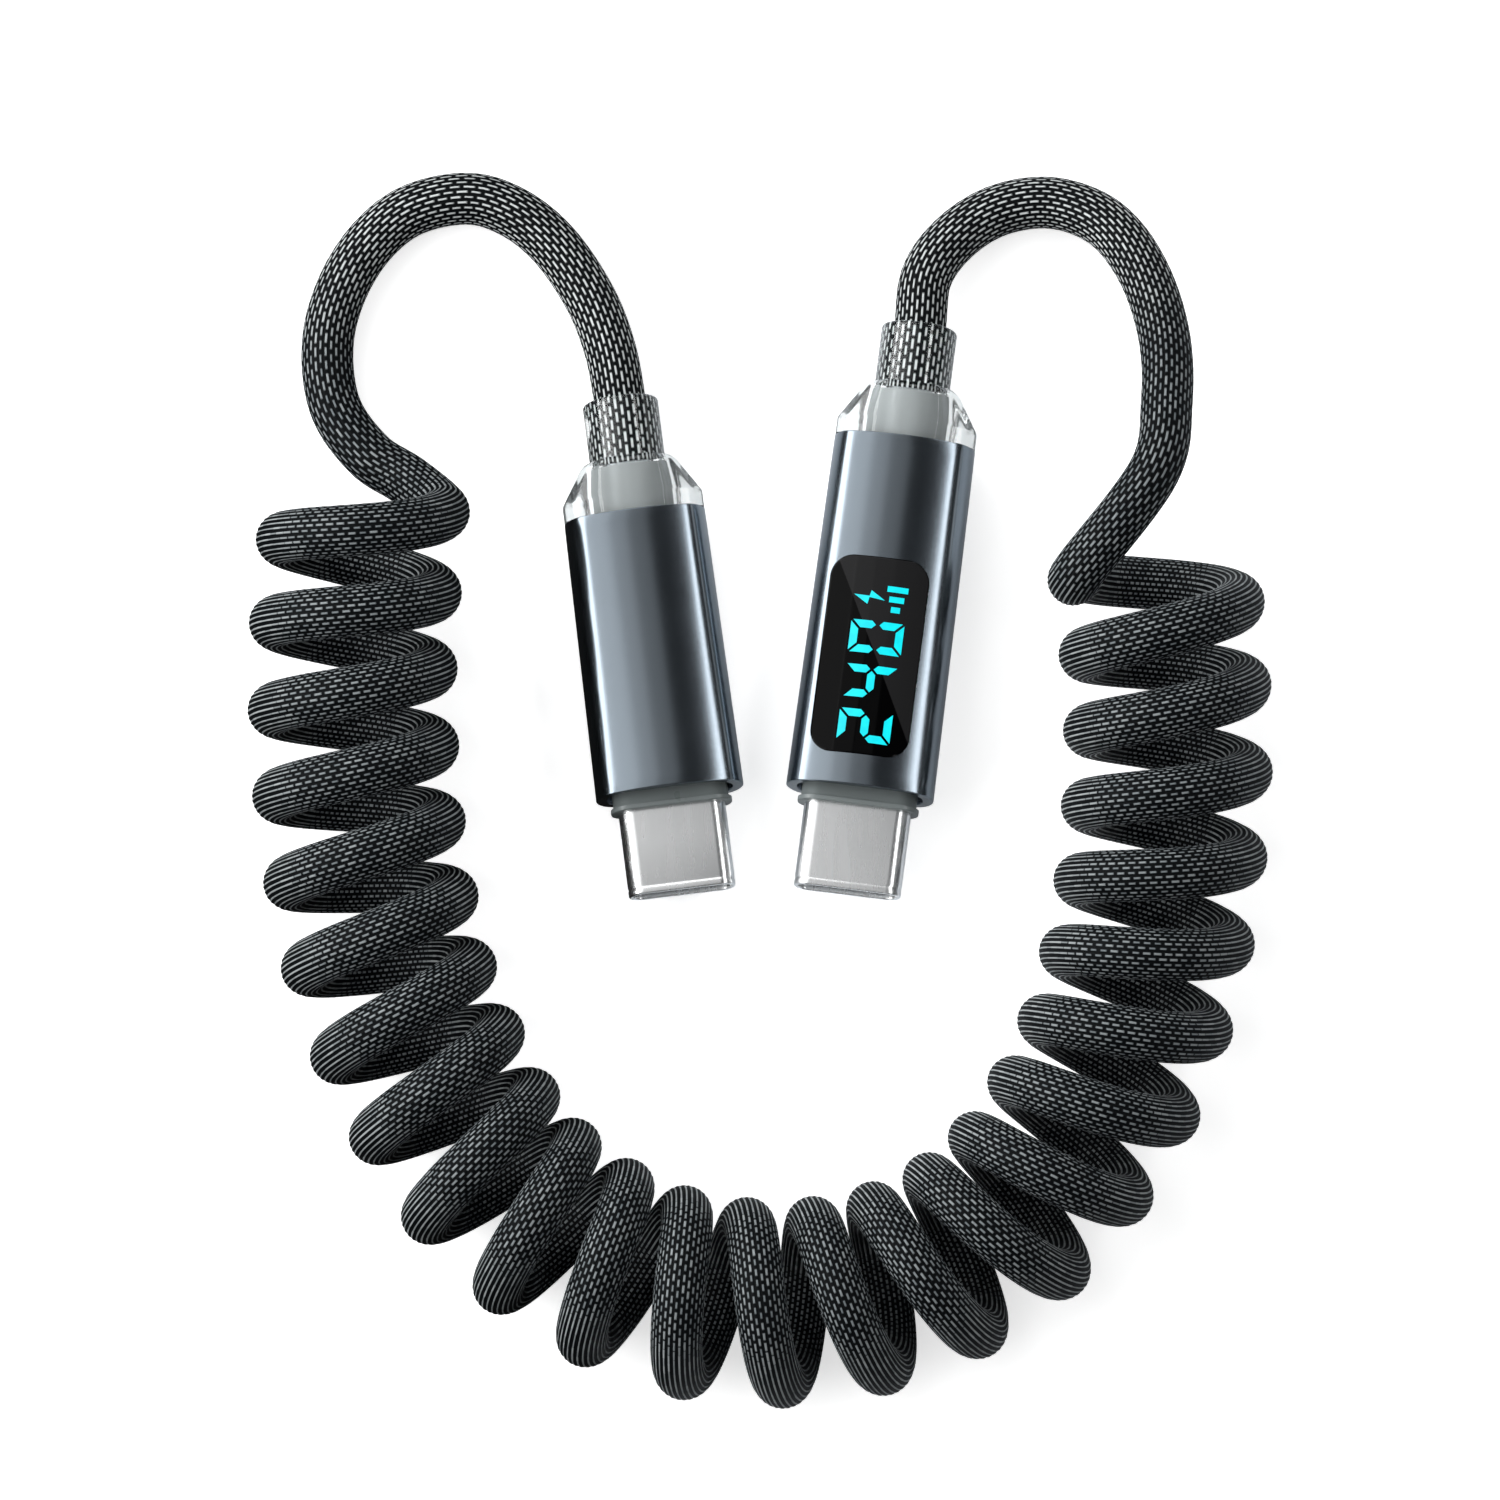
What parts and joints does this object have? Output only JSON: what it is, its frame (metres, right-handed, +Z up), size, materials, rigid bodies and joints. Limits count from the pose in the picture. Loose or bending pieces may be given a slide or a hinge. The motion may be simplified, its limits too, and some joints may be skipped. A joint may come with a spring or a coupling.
{
  "type": "spring charging cable",
  "caption": "Coiled braided charging cable lying in a U, with two oval-section metal plugs, bevelled clear tails and a lit power meter in one plug.",
  "frame": {"origin": "on the table under the middle of the two plugs' common outline", "axes": "+X across the U towards the meter plug's side of the spring, +Y from the bottom of the U towards the ends of the plugs where the cord leaves, +Z up from the table"},
  "size_m": [0.0787, 0.0981, 0.0162],
  "materials": {
    "tip_nickel": "bright nickel, satin",
    "tongue_black": "matte",
    "contact_gold": "gold plated",
    "latch_steel": "satin",
    "nose_dark": "dark grey satin",
    "circuit_board": "solder mask",
    "chip_black": "matte",
    "inner_white": "matte",
    "wire_red": "smooth",
    "shell_grey": "gun-metal anodised satin",
    "crimp_steel": "satin",
    "braid": "black braid with light grey threads",
    "clear_tail": "clear gloss",
    "light_box": "matte",
    "display_cyan": "lit cyan",
    "display_black": "polished black"
  },
  "bodies": {
    "plain_half": {"coil_left": "braid", "coil_bend": "braid", "plain_lead_drop": "braid", "plain_lead_bow": "braid"},
    "meter_half": {"coil_right": "braid", "meter_lead_drop": "braid", "meter_lead_bow": "braid"},
    "plain_plug": {"plain_tip": "tip_nickel", "plain_insulator": "tongue_black", "plain_contacts_upper": "contact_gold", "plain_contacts_lower": "contact_gold", "plain_latches": "latch_steel", "plain_nose": "nose_dark", "plain_board": "circuit_board", "plain_chip": "chip_black", "plain_inner_base": "inner_white", "plain_inner_cap": "inner_white", "plain_wires": "wire_red", "plain_shell": "shell_grey", "plain_crimp": "crimp_steel", "plain_cord_stub": "braid", "plain_tail": "clear_tail", "plain_collar": "clear_tail"},
    "meter_plug": {"meter_tip": "tip_nickel", "meter_insulator": "tongue_black", "meter_contacts_upper": "contact_gold", "meter_contacts_lower": "contact_gold", "meter_latches": "latch_steel", "meter_nose": "nose_dark", "meter_board": "circuit_board", "meter_chip": "chip_black", "meter_inner_base": "inner_white", "meter_board_pins": "contact_gold", "meter_wires": "wire_red", "meter_shell": "shell_grey", "meter_crimp": "crimp_steel", "meter_cord_stub": "braid", "meter_tail": "clear_tail", "meter_collar": "clear_tail", "display_board": "circuit_board", "display_light_box": "light_box", "display_segments": "display_cyan", "display_window": "display_black"}
  },
  "joints": [
    {"name": "spring_bend", "type": "hinge", "parent": "plain_half", "child": "meter_half", "pos_m": [-0.0005, -0.055, 0.0081], "axis": [0, 0, -1], "range_deg": [0, 40], "stiffness_Nm_per_rad": 0.012, "deforming": ["coil_bend"]},
    {"name": "plain_plug_lift", "type": "hinge", "parent": "plain_half", "child": "plain_plug", "pos_m": [-0.01205, 0.02097, 0.003], "axis": [-0.9923, -0.1236, 0], "range_deg": [0, 60], "stiffness_Nm_per_rad": 0.01, "deforming": ["plain_lead_bow"]},
    {"name": "meter_plug_lift", "type": "hinge", "parent": "meter_half", "child": "meter_plug", "pos_m": [0.01205, 0.02671, 0.003], "axis": [-0.9921, 0.1253, 0], "range_deg": [0, 60], "stiffness_Nm_per_rad": 0.01, "deforming": ["meter_lead_bow"]}
  ]
}
